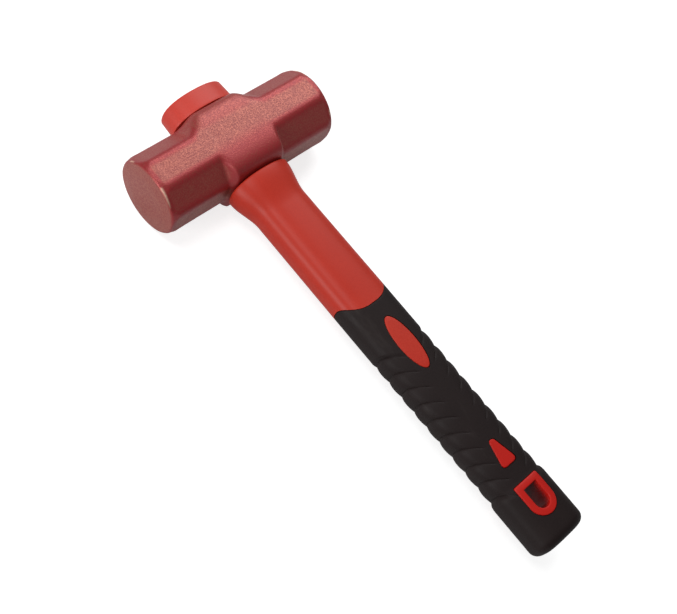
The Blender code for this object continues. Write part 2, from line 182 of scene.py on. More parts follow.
def buildSpeckle():
    # fine grain over soft blotches: 0.5 on average
    group, given, out = newGroup(
        "speckle",
        [
            ("Size", "NodeSocketFloat", 0.001),
            ("Blotch Size", "NodeSocketFloat", 0.01),
            ("Blotch Share", "NodeSocketFloat", 0.5),
            ("Contrast", "NodeSocketFloat", 2.0),
        ],
        [("Mask", "NodeSocketFloat"), ("Grain", "NodeSocketFloat")],
    )
    place = group.nodes.new("ShaderNodeTexCoord").outputs["Object"]
    masks = []
    for label, detail in (("Size", 3.0), ("Blotch Size", 2.0)):
        field = group.nodes.new("ShaderNodeTexNoise")
        field.inputs["Detail"].default_value = detail
        group.links.new(place, field.inputs["Vector"])
        scale = mathNode(group, "DIVIDE", 1.0, given.outputs[label])
        group.links.new(scale, field.inputs["Scale"])
        masks.append(field.outputs["Fac"])
    spread = mathNode(group, "SUBTRACT", masks[0], 0.5)
    fine = mathNode(group, "MULTIPLY_ADD", spread, given.outputs["Contrast"], 0.5)
    fine.node.use_clamp = True
    mixed = group.nodes.new("ShaderNodeMix")
    group.links.new(given.outputs["Blotch Share"], mixed.inputs["Factor"])
    group.links.new(fine, mixed.inputs["A"])
    group.links.new(masks[1], mixed.inputs["B"])
    group.links.new(mixed.outputs["Result"], out.inputs["Mask"])
    group.links.new(masks[0], out.inputs["Grain"])
    return group


def buildScuffs():
    # long thin scratches and rubbed spots, mostly nothing
    group, given, out = newGroup(
        "scuffs",
        [("Size", "NodeSocketFloat", 0.02), ("Amount", "NodeSocketFloat", 0.3)],
        [("Mask", "NodeSocketFloat")],
    )
    place = group.nodes.new("ShaderNodeTexCoord").outputs["Object"]
    lengthen = group.nodes.new("ShaderNodeMapping")
    lengthen.inputs["Scale"].default_value = (1.0, 0.25, 1.0)
    lengthen.inputs["Rotation"].default_value = (0.0, 0.0, 0.5)
    group.links.new(place, lengthen.inputs["Vector"])
    field = group.nodes.new("ShaderNodeTexNoise")
    field.inputs["Detail"].default_value = 6.0
    field.inputs["Roughness"].default_value = 0.7
    group.links.new(lengthen.outputs["Vector"], field.inputs["Vector"])
    group.links.new(mathNode(group, "DIVIDE", 1.0, given.outputs["Size"]), field.inputs["Scale"])
    peaks = group.nodes.new("ShaderNodeMapRange")
    peaks.interpolation_type = "SMOOTHSTEP"
    peaks.inputs["From Min"].default_value = 0.58
    peaks.inputs["From Max"].default_value = 0.75
    group.links.new(field.outputs["Fac"], peaks.inputs["Value"])
    amount = mathNode(group, "MULTIPLY", peaks.outputs["Result"], given.outputs["Amount"])
    group.links.new(amount, out.inputs["Mask"])
    return group


speckle = buildSpeckle()
scuffs = buildScuffs()
print("built the shader groups")


def placeGroup(tree, group, **values):
    node = tree.nodes.new("ShaderNodeGroup")
    node.node_tree = group
    for label, value in values.items():
        node.inputs[label.replace("_", " ")].default_value = value
    return node


def mixColours(tree, factor, first, second):
    node = tree.nodes.new("ShaderNodeMix")
    node.data_type = "RGBA"
    tree.links.new(factor, node.inputs["Factor"])
    for label, value in (("A", first), ("B", second)):
        socket = [s for s in node.inputs if s.name == label and s.type == "RGBA"][0]
        if isinstance(value, tuple):
            socket.default_value = (*value, 1.0)
        else:
            tree.links.new(value, socket)
    return [s for s in node.outputs if s.type == "RGBA"][0]


def linkRange(tree, mask, ends, socket):
    # the socket goes from the first end to the second as the mask goes from 0 to 1
    node = tree.nodes.new("ShaderNodeMapRange")
    node.inputs["To Min"].default_value = ends[0]
    node.inputs["To Max"].default_value = ends[1]
    tree.links.new(mask, node.inputs["Value"])
    tree.links.new(node.outputs["Result"], socket)


def addBump(tree, shader, height, distance, strength=1.0):
    bump = tree.nodes.new("ShaderNodeBump")
    bump.inputs["Distance"].default_value = distance
    bump.inputs["Strength"].default_value = strength
    tree.links.new(height, bump.inputs["Height"])
    tree.links.new(bump.outputs["Normal"], shader.inputs["Normal"])


def newMaterial(name, **values):
    material = bpy.data.materials.new(name)
    material.use_nodes = True
    tree = material.node_tree
    shader = tree.nodes["Principled BSDF"]
    for label, value in values.items():
        shader.inputs[label.replace("_", " ")].default_value = value
    return material, tree, shader


def readMask(tree, name):
    node = tree.nodes.new("ShaderNodeAttribute")
    node.attribute_name = name
    return node.outputs["Fac"]


head = {
    "capSideHalf": 0.0125,  # the boss keeps its full section this far from the middle
    "capSideRunout": 0.0140,
    "gripSideHalf": 0.0158,
    "gripSideRunout": 0.0045,
    "coneLength": 0.0065,  # turned on the corners of the octagon at each striking face
    "coneRadius": 0.0225,  # its small end
    "edgeRadius": 0.0020,
    "faceFlat": 0.0130,
    "crown": 0.0006,
    "cornerReach": 0.0024,  # how far the octagon's edges are rounded
    "bossCornerReach": 0.0105,
    "bevelHeight": 0.0053,  # bevel along the boss's corners, measured on the cheek
    "bevelDepth": 0.0065,  # and on the top
    "unevenness": 0.00016,
    "broadWaves": 70,  # waves of the uneven surface in a metre
    "fineWaves": 210,
    "broadShare": 0.6,
    "calmLength": 0.004,  # the surface evens out this far before each turned end
    "plainStep": 0.001,  # left between the last even ring and the turned end
    "bodyRings": 62,
    "coneRings": 8,
    "eyeHalfWidth": 0.0157,
    "eyeHalfDepth": 0.0116,
    "eyeSquareness": 2.3,
    "eyeFlare": 0.0014,
}
halfLength = headHigh.x
halfDepth = (headHigh.z - headLow.z) / 2
octagonCorner = halfDepth / cos(pi / 8)
bendPoints = 7
flatPoints = 7
longestBend = 0.45  # a rounded corner takes at most this share of the flat beside it


def bossShare(x, onCapSide):
    half = head["capSideHalf"] if onCapSide else head["gripSideHalf"]
    runout = head["capSideRunout"] if onCapSide else head["gripSideRunout"]
    return ease((half + runout - abs(x)) / runout)


def headCorners(x):
    # the eight corners of the section, and how far each is rounded
    halfFlat = halfDepth * (2**0.5 - 1)
    corners = []
    for side in (1, -1):
        share = bossShare(x, side > 0)
        outerDepth = blend(halfFlat, halfDepth - head["bevelDepth"], share)
        innerHeight = blend(halfFlat, headTop - head["bevelHeight"], share)
        outer = (side * blend(halfDepth, headTop, share), outerDepth)
        inner = (side * innerHeight, halfDepth)
        reach = blend(head["cornerReach"], head["bossCornerReach"], share)
        pair = [(outer, reach), (inner, reach)]
        corners += pair if side > 0 else pair[::-1]
    return corners + [((y, -z), reach) for (y, z), reach in reversed(corners)]


def bendAt(before, corner, after, reach):
    starts = []
    for other in (before, after):
        dy, dz = other[0] - corner[0], other[1] - corner[1]
        length = (dy * dy + dz * dz) ** 0.5
        share = min(reach, longestBend * length) / length
        starts.append((corner[0] + dy * share, corner[1] + dz * share))
    bend = []
    for t in steps(0.0, 1.0, bendPoints):
        first, middle, last = (1 - t) ** 2, 2 * t * (1 - t), t * t
        bend.append(
            tuple(first * starts[0][k] + middle * corner[k] + last * starts[1][k] for k in (0, 1))
        )
    return bend


def headSection(x):
    corners = headCorners(x)
    bends = []
    for i, (corner, reach) in enumerate(corners):
        bends.append(bendAt(corners[i - 1][0], corner, corners[(i + 1) % 8][0], reach))
    outline = []
    for i, bend in enumerate(bends):
        following = bends[(i + 1) % 8][0]
        outline += bend
        for t in steps(0.0, 1.0, flatPoints)[1:-1]:
            outline.append(tuple(blend(bend[-1][k], following[k], t) for k in (0, 1)))
    return outline


def headRing(x, limit):
    # corners are turned down to the limit, and the surface dips a little, as forged steel does
    ring = []
    calm = ease((halfLength - head["coneLength"] - abs(x)) / head["calmLength"])
    for y, z in headSection(x):
        radius = (y * y + z * z) ** 0.5
        place = Vector((x, y, z))
        broad = noise.noise(place * head["broadWaves"])
        fine = noise.noise(place * head["fineWaves"])
        wave = blend(fine, broad, head["broadShare"])
        dip = head["unevenness"] * calm * (0.5 + 0.5 * wave)
        shrink = min(1.0, limit / radius) * (1 - dip / radius)
        ring.append((x, y * shrink, z * shrink))
    return ring


def makeHead():
    rim = halfLength - head["crown"]
    small = head["coneRadius"]
    coneStart = rim - head["coneLength"]
    bodyEnd = coneStart - head["plainStep"]
    right = [headRing(x, halfLength) for x in steps(0.0, bodyEnd, head["bodyRings"])]
    for share in steps(0.0, 1.0, head["coneRings"]):
        x = blend(coneStart, rim - head["edgeRadius"], share)
        right.append(headRing(x, blend(octagonCorner, small, share)))
    for turn in steps(0.0, pi / 2, 5)[1:]:
        x = rim - head["edgeRadius"] * (1 - sin(turn))
        right.append(headRing(x, small - head["edgeRadius"] * (1 - cos(turn))))
    edge = small - head["edgeRadius"]
    for share in (0.15, 0.4, 0.7, 1.0):
        x = rim + head["crown"] * ease(share)
        right.append(headRing(x, blend(edge, head["faceFlat"], share)))
    for share in (0.6, 0.3, 0.1):
        right.append(headRing(halfLength, head["faceFlat"] * share))
    left = [[(-x, y, z) for x, y, z in ring] for ring in reversed(right[1:])]
    piece = loftPiece("forged_head", left + right)
    eye = []
    for height in steps(-headTop - toolReach, headTop + toolReach, 4):
        flare = head["eyeFlare"] * ease((height + headTop) / (2 * headTop))
        halfX, halfZ = head["eyeHalfWidth"] + flare, head["eyeHalfDepth"] + flare
        eye.append(ovalRing(halfX, halfZ, head["eyeSquareness"], height))
    carve(piece, loftPiece("eye_tool", eye))
    paintMask(piece, "edgePaintAndShade", edgePaintAndShade)
    paintMask(piece, "rimHighlight", rimHighlight)
    return piece


# darker paint at the octagon's edges, and painted shade on the turned ends, the slanted faces and the
# boss's grip side
darkPaintAndShade = {
    "edgeReach": 0.0044,  # how far the dark band reaches from an edge of the octagon
    "bossShadeReach": 0.0185,  # and the painted shade from an edge of the boss on its grip side
    "solidShare": 0.45,  # share of that reach that is fully dark
    "endLength": 0.0046,  # painted shade beside each striking face
    "endFade": 0.0012,
    "faceDepth": 0.0011,  # the striking face itself is not dark
    "faceFade": 0.0005,
    "slant": 0.55,  # how dark the painted shade on the slanted faces is
    "slantStart": 0.42,  # share of the half depth past which both Y and Z lie on a slanted face
    "slantFade": 0.002,
}
# painted highlight on the rims of the striking faces
rimHighlightLines = {
    "fromRim": 0.0009,
    "halfWidth": 0.0003,
    "fade": 0.0003,
    "stretches": ((2.15, 0.22), (-0.9, 0.10), (0.7, 0.06)),  # middle and half length round the rim
    "stretchFade": 0.06,
}


def edgePaintAndShade(x, y, z):
    # darker paint along the octagon's edges, and painted shade on the turned ends, the slanted faces
    # and the boss's grip side
    nearest = 1.0
    for (cornerY, cornerZ), _ in headCorners(x):
        onBoss = bossShare(x, cornerY > 0)
        # the boss's cap side, which faces the lights, gets no band; painted shade reaches far on its
        # grip side
        if cornerY > 0 and onBoss > 0.5:
            continue
        distance = ((y - cornerY) ** 2 + (z - cornerZ) ** 2) ** 0.5
        reach = blend(darkPaintAndShade["edgeReach"], darkPaintAndShade["bossShadeReach"], onBoss * (cornerY < 0))
        nearest = min(nearest, distance / reach)
    solid = darkPaintAndShade["solidShare"]
    band = 1 - ease((nearest - solid) / (1 - solid))
    fromFace = halfLength - abs(x)
    turnedEndShade = ease((darkPaintAndShade["endLength"] - fromFace) / darkPaintAndShade["endFade"])
    onFace = ease((darkPaintAndShade["faceDepth"] - fromFace) / darkPaintAndShade["faceFade"])
    pastStart = min(abs(y), abs(z)) - halfDepth * darkPaintAndShade["slantStart"]
    slanted = darkPaintAndShade["slant"] * ease(pastStart / darkPaintAndShade["slantFade"])
    return max(band, turnedEndShade, slanted) * (1 - onFace)


def rimHighlight(x, y, z):
    # painted highlight: thin pale lines on the rims of the striking faces
    fromLine = abs(halfLength - head["crown"] - rimHighlightLines["fromRim"] - abs(x))
    line = 1 - ease((fromLine - rimHighlightLines["halfWidth"]) / rimHighlightLines["fade"])
    turn = atan2(z, y if x < 0 else -y)
    paintedGlint = 0.0
    for middle, spread in rimHighlightLines["stretches"]:
        paintedGlint = max(paintedGlint, 1 - ease((abs(turn - middle) - spread) / rimHighlightLines["stretchFade"]))
    return line * paintedGlint


headPaint = {
    "copper": (0.42, 0.125, 0.086),
    # the darker paint at the edges, also used for painted shade
    "crimsonPaintAndShade": (0.33, 0.014, 0.020),
    "dark": (0.27, 0.028, 0.028),
    "rubbed": (0.62, 0.24, 0.18),
    # pale colour of the painted highlight on the rims
    "paintedGlint": (0.74, 0.46, 0.34),
    "grainSize": 0.00085,
    "blotchSize": 0.009,
    "blotchShare": 0.3,
    "contrast": 3.8,
    "roughness": (0.50, 0.38),  # between the flakes and on them
    "metallic": (0.10, 0.55),
    "grainHeight": 0.00012,
}


def makeHeadPaint():
    material, tree, shader = newMaterial(
        "copper_red_paint", Coat_Weight=0.25, Coat_Roughness=0.42
    )
    flakes = placeGroup(
        tree,
        speckle,
        Size=headPaint["grainSize"],
        Blotch_Size=headPaint["blotchSize"],
        Blotch_Share=headPaint["blotchShare"],
        Contrast=headPaint["contrast"],
    )
    rubbed = placeGroup(tree, scuffs, Size=0.015, Amount=0.25)
    ground = mixColours(tree, flakes.outputs["Mask"], headPaint["dark"], headPaint["copper"])
    light = mixColours(tree, rubbed.outputs["Mask"], ground, headPaint["rubbed"])
    # the flakes break up the border of the dark bands
    broken = mathNode(tree, "MULTIPLY_ADD", flakes.outputs["Mask"], -0.5, 1.1)
    share = mathNode(tree, "MULTIPLY", readMask(tree, "edgePaintAndShade"), broken)
    share.node.use_clamp = True
    # crimson for the darker paint along the edges and the painted shade on the turned ends, slanted
    # faces and boss's grip side
    colour = mixColours(tree, share, light, headPaint["crimsonPaintAndShade"])
    # painted highlight on the rims of the striking faces
    colour = mixColours(tree, readMask(tree, "rimHighlight"), colour, headPaint["paintedGlint"])
    tree.links.new(colour, shader.inputs["Base Color"])
    linkRange(tree, flakes.outputs["Mask"], headPaint["roughness"], shader.inputs["Roughness"])
    linkRange(tree, flakes.outputs["Mask"], headPaint["metallic"], shader.inputs["Metallic"])
    addBump(tree, shader, flakes.outputs["Grain"], headPaint["grainHeight"], 0.7)
    return material


forgedHead = makeHead()
finishPiece(forgedHead, makeHeadPaint(), "hammer_head", 60)


grip = {
    "edge": -0.1212,  # front middle of the red and black border
    "edgeBow": 0.0088,  # how much nearer the head the border is at the sides
    "halfWidth": 0.0165,
    "halfDepth": 0.0120,
    "squareness": 2.9,
    "wall": 0.0022,
    "smoothLength": 0.0268,
    "blockLength": 0.0388,
    "blockRamp": 0.0060,  # length over which the grip thickens into the block at the butt
    "buttRadius": 0.0054,
    "endLength": 0.0027,  # stretch over which the jacket's end draws in under the butt
    "endDraw": 0.0018,
    "ribs": 9,
    "ribHeight": 0.0012,
    "ribSlope": 0.75,
    "frontShare": 0.35,  # depth of the grooves on the flat front, as a share of that at the sides
    "middleBand": 0.0045,  # half width of the smooth band without ribs
    "ribCrest": 0.45,  # place of a rib's highest line, as a share of the way to the next groove
    "ribFullness": (0.14, 0.60),  # on the front and at the sides: less is fuller
    "grooveFade": 0.25,  # share of a rib over which the first and the last groove end
    "lipRadius": 0.0004,
    "blendRings": 24,  # between the border and the ribs
    "ringsPerRib": 20,
    "blockRings": 26,
}
butt = gripLow.y
blockTop = butt + grip["blockLength"]
firstGroove = grip["edge"] - grip["smoothLength"]
ribPitch = (firstGroove - blockTop) / grip["ribs"]
blockHalfWidth = gripHigh.x
blockHalfDepth = (gripHigh.z - gripLow.z) / 2
jacketEnd = butt + grip["wall"] + gap
ringCount = 192


def hullHalves(y):
    share = ease((blockTop - y) / grip["blockRamp"])
    return (
        blend(grip["halfWidth"], blockHalfWidth, share),
        blend(grip["halfDepth"], blockHalfDepth, share),
    )


def hullHeight(x, y):
    # height of the grip's face above the handle's axis
    halfX, halfZ = hullHalves(y)
    power = grip["squareness"]
    return halfZ * max(1 - (abs(x) / halfX) ** power, 0.0) ** (1 / power)


def grooveDepth(x, y):
    # nothing on the middle band, shallow on the front, full depth at the sides
    side = (abs(x) - grip["middleBand"]) / (grip["halfWidth"] - grip["middleBand"])
    slant = grip["ribSlope"] * max(grip["halfWidth"] - abs(x), 0.0)
    along = (firstGroove - y - slant) / ribPitch
    outside = max(-along, along - grip["ribs"])
    if outside > 0:
        share = max(1 - outside / grip["grooveFade"], 0.0) ** 1.5
    else:
        part, crest = along % 1.0, grip["ribCrest"]
        rise = part / crest if part < crest else 1 + (part - crest) / (1 - crest)
        share = 1 - sin(pi * rise / 2) ** blend(*grip["ribFullness"], ease(side))
    front = grip["frontShare"] * ease(side * 3)
    return grip["ribHeight"] * blend(front, 1.0, ease(2 * side - 1)) * share


def gripPoint(turn, y, inset):
    halfX, halfZ = hullHalves(y)
    x, z = ovalPoint(turn, halfX - inset, halfZ - inset, grip["squareness"])
    shrink = 1 - grooveDepth(x, y) / (x * x + z * z) ** 0.5
    return x * shrink, y, z * shrink


def gripRing(level, bowShare=0.0, slantShare=0.0, inset=0.0):
    # bowShare 1 follows the border with the neck, slantShare 1 follows the ribs
    ring = []
    for i in range(ringCount):
        turn = tau * (i + 0.5) / ringCount
        x, z = ovalPoint(turn, grip["halfWidth"], 1.0, grip["squareness"])
        bow = bowShare * grip["edgeBow"] * cos(turn) ** 2
        slant = slantShare * grip["ribSlope"] * (grip["halfWidth"] - abs(x))
        ring.append(gripPoint(turn, level + bow - slant, inset))
    return ring


def innerRing(height, outset=0.0, bow=0.0):
    return ovalRing(
        grip["halfWidth"] - grip["wall"] + outset,
        grip["halfDepth"] - grip["wall"] + outset,
        grip["squareness"],
        height,
        bow,
        ringCount,
    )


ovalWindow = {"length": 0.0362, "width": 0.0123, "fromEdge": 0.0283}
arrowWindow = {
    "length": 0.0170,
    "aboveHole": 0.0101,
    "tipRadius": 0.0025,
    "lean": 0.24,  # slant of its sides, in radians
    "cornerReach": 0.0035,
}
hangHole = {
    "length": 0.0226,
    "width": 0.0180,
    "aboveButt": 0.0144,
    "wall": 0.0042,
    "cornerReach": 0.0011,
    "innerTightening": 0.2,  # how fast the corners get sharper inwards
    "leastReach": 0.0003,
    "tubeHalf": 0.010,  # half length of the straight stretch inside
}
rimEnd = butt + hangHole["aboveButt"]
rimTop = rimEnd + hangHole["length"]
arrowBase = rimTop + arrowWindow["aboveHole"]
ovalMiddle = grip["edge"] - ovalWindow["fromEdge"]


def ovalOutline(inset):
    halfX = ovalWindow["width"] / 2 - inset
    halfY = ovalWindow["length"] / 2 - inset
    turns = steps(0.0, tau, 64)[:-1]
    return [(halfX * cos(turn), ovalMiddle + halfY * sin(turn)) for turn in turns]


def arrowOutline(inset):
    # a triangle that points to the head, with a round tip and rounded corners at its base
    lean = arrowWindow["lean"]
    radius = arrowWindow["tipRadius"] - inset
    centre = arrowBase + arrowWindow["length"] - arrowWindow["tipRadius"]
    base = arrowBase + inset
    halfBase = (radius + sin(lean) * (centre - base)) / cos(lean)
    turns = steps(lean, pi - lean, 16)
    tip = [(radius * cos(turn), centre + radius * sin(turn)) for turn in turns]
    half = bendAt((-halfBase, base), (halfBase, base), tip[0], arrowWindow["cornerReach"])
    start = half[-1]
    for t in steps(0.0, 1.0, 10)[1:-1]:
        half.append((blend(start[0], tip[0][0], t), blend(start[1], tip[0][1], t)))
    flat = [(x, base) for x in steps(-half[0][0], half[0][0], 8)[1:-1]]
    return flat + half + tip + [(-x, y) for x, y in reversed(half)]


def rimOutline(inset):
    # a D with its flat side to the head
    halfWidth = hangHole["width"] / 2 - inset
    middle = rimEnd + hangHole["width"] / 2
    turns = steps(-pi, 0.0, 36)
    bow = [(halfWidth * cos(turn), middle + halfWidth * sin(turn)) for turn in turns]
    top = rimTop - inset
    reach = hangHole["cornerReach"] - hangHole["innerTightening"] * inset
    reach = max(reach, hangHole["leastReach"])
    edge = [(halfWidth, blend(middle, top, t)) for t in (0.3, 0.6)]
    right = bendAt((halfWidth, middle), (halfWidth, top), (-halfWidth, top), reach)
    flat = [(x, top) for x in steps(halfWidth - reach, reach - halfWidth, 8)[1:-1]]
    left = [(-x, y) for x, y in reversed(right)]
    return bow + edge + right + flat + left + [(-x, y) for x, y in reversed(edge)]


def prismPiece(name, outline, reach):
    return loftPiece(name, [[(x, y, z) for x, y in outline] for z in (-reach, reach)])


def gripRings():
    # up the inside from the butt, over the lip, and down the outside
    top = grip["edge"] - gap
    rings = [innerRing(jacketEnd - gap, gap - grip["endDraw"])]
    for height in (jacketEnd + grip["endLength"], ovalMiddle):
        rings.append(innerRing(height, gap))
    rings.append(innerRing(top, gap, grip["edgeBow"]))
    lip = grip["lipRadius"]
    for turn in steps(0.0, pi / 2, 4):
        rings.append(gripRing(top - lip * (1 - cos(turn)), 1.0, 0.0, lip * (1 - sin(turn))))
    ribStart = firstGroove + ribPitch / 2
    for share in steps(0.0, 1.0, grip["blendRings"])[1:-1]:
        settle = ease(share)
        rings.append(gripRing(blend(top - lip, ribStart, share), 1 - settle, settle))
    ribEnd = blockTop - ribPitch / 2
    for level in steps(ribStart, ribEnd, grip["ringsPerRib"] * (grip["ribs"] + 1)):
        rings.append(gripRing(level, 0.0, 1.0))
    radius = grip["buttRadius"]
    for share in steps(0.0, 1.0, grip["blockRings"])[1:]:
        rings.append(gripRing(blend(ribEnd, butt + radius, share), 0.0, 1 - ease(share)))
    for turn in steps(0.0, pi / 2, 9)[1:]:
        rings.append(gripRing(butt + radius * (1 - sin(turn)), 0.0, 0.0, radius * (1 - cos(turn))))
    return rings


def makeGrip():
    piece = loftPiece("soft_grip", gripRings())
    for name, outlineAt in (
        ("oval_tool", ovalOutline),
        ("arrow_tool", arrowOutline),
        ("rim_tool", rimOutline),
    ):
        carve(piece, prismPiece(name, outlineAt(0.0), blockHalfDepth + toolReach))
    return piece


rubber = {
    "dark": (0.0085, 0.0045, 0.0046),
    "pale": (0.018, 0.0105, 0.0100),
    "rubbed": (0.04, 0.031, 0.029),
    "roughness": (0.5, 0.68),
    "grainSize": 0.0006,
    "blotchSize": 0.012,
    "grainHeight": 0.00008,
}


def makeRubber():
    material, tree, shader = newMaterial("black_grip_rubber", Specular_IOR_Level=0.2)
    grain = placeGroup(
        tree, speckle, Size=rubber["grainSize"], Blotch_Size=rubber["blotchSize"]
    )
    rubbed = placeGroup(tree, scuffs, Size=0.02, Amount=0.5)
    ground = mixColours(tree, grain.outputs["Mask"], rubber["dark"], rubber["pale"])
    colour = mixColours(tree, rubbed.outputs["Mask"], ground, rubber["rubbed"])
    tree.links.new(colour, shader.inputs["Base Color"])
    linkRange(tree, grain.outputs["Mask"], rubber["roughness"], shader.inputs["Roughness"])
    addBump(tree, shader, grain.outputs["Grain"], rubber["grainHeight"], 0.6)
    return material


softGrip = makeGrip()
finishPiece(softGrip, makeRubber(), "grip_sleeve", 40)


jacket = {
    "neck": {"halfWidth": 0.0163, "halfDepth": 0.0123, "squareness": 2.7},
    "collar": {"halfWidth": 0.0206, "halfDepth": 0.0155, "squareness": 2.3},
    "collarLength": 0.0228,
    "collarEdge": 0.0010,
    "collarShare": 0.3,  # share of the neck where the rings are closer, for the collar's curve
    "neckRings": 30,  # in each of the two stretches
    "tangHalfWidth": 0.0145,
    "tangHalfDepth": 0.0104,
    "padEdge": 0.0005,  # rounding of what shows in the windows
    "padDepth": 0.004,  # height above the axis where the pads begin, well inside the body
    "rimProud": 0.0004,
}
neckTop = -headTop - gap


def tangRing(outset, height):
    return ovalRing(
        jacket["tangHalfWidth"] + outset,
        jacket["tangHalfDepth"] + outset,
        jacket["collar"]["squareness"],
        height,
        count=ringCount,
    )


def neckRing(share):
    # the collar narrows to the neck, which widens a little down to the grip
    start = neckTop - jacket["collarEdge"]
    settle = ease(share * (start - grip["edge"]) / jacket["collarLength"])
    sizes = []
    for size in ("halfWidth", "halfDepth", "squareness"):
        neck = blend(jacket["neck"][size], grip[size], share)
        sizes.append(blend(jacket["collar"][size], neck, settle))
    return ovalRing(*sizes, blend(start, grip["edge"], share), grip["edgeBow"] * share, ringCount)


def windowPad(name, outlineAt, side):
    # what shows in a window: rounded at its border and level with the grip
    edge = jacket["padEdge"]
    rings = [[(x, y, side * jacket["padDepth"]) for x, y in outlineAt(gap)]]
    for turn in steps(0.0, pi / 2, 4):
        inset = edge * (1 - cos(turn))
        drop = edge * (1 - sin(turn))
        rings.append(
            [(x, y, side * (hullHeight(x, y) - drop)) for x, y in outlineAt(gap + inset)]
        )
    whole = outlineAt(gap + edge)
    middle = sum(y for x, y in whole) / len(whole)
    for share in (0.85, 0.7, 0.55, 0.4, 0.25, 0.1):
        ring = [(x * share, middle + (y - middle) * share) for x, y in whole]
        rings.append([(x, y, side * hullHeight(x, y)) for x, y in ring])
    return loftPiece(name, rings)


def holeRim():
    # a D-shaped eyelet: over its front rim, down through the hole and out over its back rim
    edge = jacket["padEdge"]
    wall = hangHole["wall"]
    levels = []
    for turn in steps(0.0, pi / 2, 4):
        levels.append((gap + edge * (1 - cos(turn)), edge * (1 - sin(turn))))
    for share in (0.3, 0.6):
        levels.append((blend(gap + edge, wall - edge, share), 0.0))
    for turn in steps(pi / 2, 0.0, 4):
        levels.append((wall - edge * (1 - cos(turn)), edge * (1 - sin(turn))))
    rings = []
    for side, order in ((1, levels), (-1, levels[::-1])):
        if side < 0:
            for z in steps(hangHole["tubeHalf"], -hangHole["tubeHalf"], 8):
                rings.append([(x, y, z) for x, y in rimOutline(wall)])
        for inset, drop in order:
            level = jacket["rimProud"] - drop
            rings.append(
                [(x, y, side * (hullHeight(x, y) + level)) for x, y in rimOutline(inset)]
            )
    return loftPiece("hole_rim", rings, loop=True)


def jacketRings():
    # down the tang, out over the collar, down the neck, and in under the grip
    edge = jacket["collarEdge"]
    collar = jacket["collar"]
    rings = [tangRing(0.0, jacketHigh.y), tangRing(0.0, neckTop)]
    for turn in steps(0.0, pi / 2, 5):
        inset = edge * (1 - sin(turn))
        height = neckTop - edge * (1 - cos(turn))
        halfX, halfZ = collar["halfWidth"] - inset, collar["halfDepth"] - inset
        rings.append(ovalRing(halfX, halfZ, collar["squareness"], height, count=ringCount))
    bend, count = jacket["collarShare"], jacket["neckRings"]
    for share in steps(0.0, bend, count)[1:] + steps(bend, 1.0, count)[1:]:
        rings.append(neckRing(share))
    rings.append(innerRing(grip["edge"], bow=grip["edgeBow"]))
    for height in (ovalMiddle, jacketEnd + grip["endLength"]):
        rings.append(innerRing(height))
    rings.append(innerRing(jacketEnd, -grip["endDraw"]))
    return rings


def makeJacket():
    piece = loftPiece("moulded_jacket", jacketRings())
    for side in (1, -1):
        carve(piece, windowPad("oval_pad", ovalOutline, side), "UNION")
        carve(piece, windowPad("arrow_pad", arrowOutline, side), "UNION")
    hole = rimOutline(hangHole["wall"] - gap)
    carve(piece, prismPiece("hole_tool", hole, blockHalfDepth + toolReach))
    carve(piece, holeRim(), "UNION")
    coreRadius = coreHigh.x + gap
    bore = []
    for height in (coreLow.y - gap, coreHigh.y + toolReach):
        bore.append(ovalRing(coreRadius, coreRadius, 2, height))
    carve(piece, loftPiece("bore_tool", bore))
    return piece


plastic = {
    "jacketShades": ((0.45, 0.024, 0.012), (0.55, 0.036, 0.017)),  # mixed by the grain
    "capShades": ((0.54, 0.046, 0.032), (0.66, 0.062, 0.042)),
    "rubbed": (0.55, 0.09, 0.06),
    # painted shade, deeper red towards the butt
    "deeperRedShade": (0.52, 0.006, 0.004),
    # dark red of the painted shade in the hang hole
    "holeShade": (0.11, 0.003, 0.004),
    "roughness": (0.36, 0.5),
    "grainSize": 0.0008,
    "blotchSize": 0.02,
    "grainHeight": 0.00006,
    "mostHoleShade": 0.75,
    "holeShadeStart": 0.0005,  # depth in the hang hole where the painted shade begins
    "holeShadeLength": 0.008,
    "mostDeep": 0.8,
    "deepStart": 0.02,  # distance under the border where the red begins to deepen
    "deepLength": 0.1,
}


def makeRedPlastic(name, shades, masks=()):
    material, tree, shader = newMaterial(name, Specular_IOR_Level=0.25)
    grain = placeGroup(
        tree, speckle, Size=plastic["grainSize"], Blotch_Size=plastic["blotchSize"]
    )
    rubbed = placeGroup(tree, scuffs, Size=0.03, Amount=0.35)
    ground = mixColours(tree, grain.outputs["Mask"], *shades)
    colour = mixColours(tree, rubbed.outputs["Mask"], ground, plastic["rubbed"])
    for mask in masks:
        colour = mixColours(tree, readMask(tree, mask), colour, plastic[mask])
    tree.links.new(colour, shader.inputs["Base Color"])
    linkRange(tree, grain.outputs["Mask"], plastic["roughness"], shader.inputs["Roughness"])
    addBump(tree, shader, grain.outputs["Grain"], plastic["grainHeight"], 0.5)
    return material


def deeperRedShade(x, y, z):
    # painted shade: the red gets deeper towards the butt, standing in for the neck's stronger sheen
    pastStart = grip["edge"] - plastic["deepStart"] - y
    return plastic["mostDeep"] * ease(pastStart / plastic["deepLength"])


def holeShade(x, y, z):
    # painted shade inside the hang hole
    inLength = rimEnd + hangHole["wall"] - gap < y < rimTop - hangHole["wall"] + gap
    if not inLength or abs(x) > hangHole["width"] / 2 - hangHole["wall"] + gap:
        return 0.0
    depth = hullHeight(x, y) - abs(z)
    return plastic["mostHoleShade"] * ease((depth - plastic["holeShadeStart"]) / plastic["holeShadeLength"])


mouldedJacket = makeJacket()
paintMask(mouldedJacket, "deeperRedShade", deeperRedShade)
paintMask(mouldedJacket, "holeShade", holeShade)
# the jacket's red carries painted shade towards the butt and inside the hang hole
jacketPlastic = makeRedPlastic(
    "red_jacket_plastic", plastic["jacketShades"], ("deeperRedShade", "holeShade")
)
finishPiece(mouldedJacket, jacketPlastic, "handle_jacket", 40)


